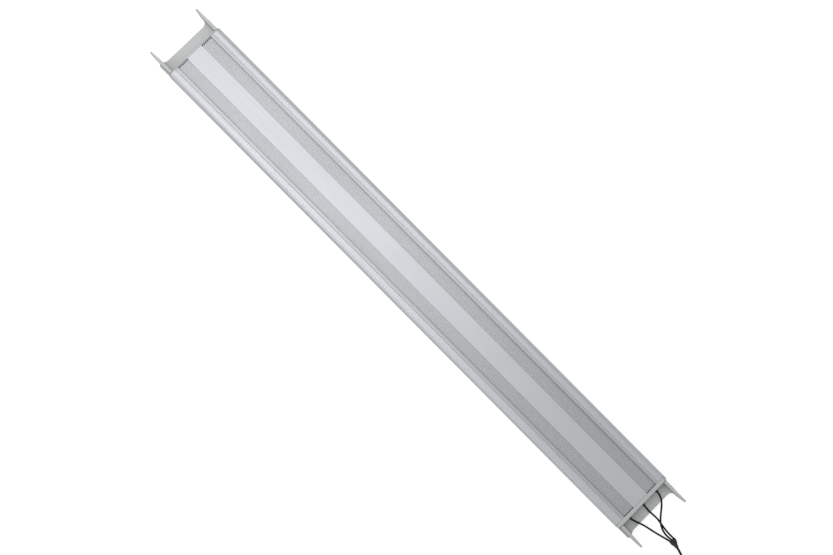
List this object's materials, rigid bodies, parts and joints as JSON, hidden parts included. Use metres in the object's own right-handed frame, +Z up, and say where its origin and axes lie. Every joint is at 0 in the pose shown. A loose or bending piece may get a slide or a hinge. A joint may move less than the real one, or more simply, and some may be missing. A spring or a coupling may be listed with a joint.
{
  "type": "led aquarium light",
  "caption": "Slim extruded LED aquarium light with cooling ribs, clear underside panel, pull-out end brackets with prongs that rest on the tank's rim, and a low-voltage lead.",
  "frame": {"origin": "under the middle of the lamp, midway between the prong tips with both brackets pushed in, at the level of the brackets' feet", "axes": "+X along the lamp towards the cable end, +Z up away from the LEDs, +Y across the lamp"},
  "size_m": [1.3657, 0.1542, 0.03],
  "materials": {
    "silver_extrusion": "satin anodised, fine lengthwise draw lines",
    "silver_cap": "satin silver paint",
    "gasket_rubber": "matte",
    "screw_steel": "bright",
    "board_white": "white solder mask",
    "led_white": "yellow phosphor in a white package",
    "led_blue": "clear window in a white package",
    "led_red": "clear window in a white package",
    "thermal_pad": "soft pad",
    "clear_panel": "clear polished acrylic",
    "silicone": "translucent silicone",
    "black_rubber": "satin",
    "black_cord": "satin jacket",
    "black_moulding": "fine moulded texture",
    "tie_fabric": "hook-and-loop band",
    "plug_metal": "nickel plate",
    "grey_bracket": "light grey satin powder coat",
    "pad_rubber": "soft clear-grey"
  },
  "bodies": {
    "housing": {"housing_extrusion": "silver_extrusion", "end_cap_left": "silver_cap", "end_cap_right": "silver_cap", "end_cap_gasket_left": "gasket_rubber", "end_cap_gasket_right": "gasket_rubber", "end_cap_screws_left": "screw_steel", "end_cap_screws_right": "screw_steel", "travel_stop_screws_left": "screw_steel", "travel_stop_screws_right": "screw_steel", "led_board_left": "board_white", "led_board_middle": "board_white", "led_board_right": "board_white", "white_leds": "led_white", "blue_leds": "led_blue", "red_leds": "led_red", "thermal_pads": "thermal_pad", "board_screws": "screw_steel", "lens_panel": "clear_panel", "lens_seal": "silicone", "cable_grommet_rear": "black_rubber", "cable_grommet_middle": "black_rubber", "cable_grommet_front": "black_rubber", "inner_leads": "black_cord", "cord_rear": "black_cord", "cord_middle": "black_cord", "cord_front": "black_cord", "lead_joint": "black_moulding", "main_lead": "black_cord", "lead_coil": "black_cord", "lead_tail": "black_cord", "coil_tie": "tie_fabric", "dc_plug_body": "black_moulding", "dc_plug_barrel": "plug_metal", "dc_plug_insulator": "black_moulding"},
    "bracket_left_body": {"bracket_left": "grey_bracket", "rim_pads_left": "pad_rubber"},
    "bracket_right_body": {"bracket_right": "grey_bracket", "rim_pads_right": "pad_rubber"}
  },
  "joints": [
    {"name": "bracket_left_slide", "type": "slide", "parent": "housing", "child": "bracket_left_body", "axis": [-1, 0, 0], "range_m": [0, 0.05]},
    {"name": "bracket_right_slide", "type": "slide", "parent": "housing", "child": "bracket_right_body", "axis": [1, 0, 0], "range_m": [0, 0.05]}
  ]
}
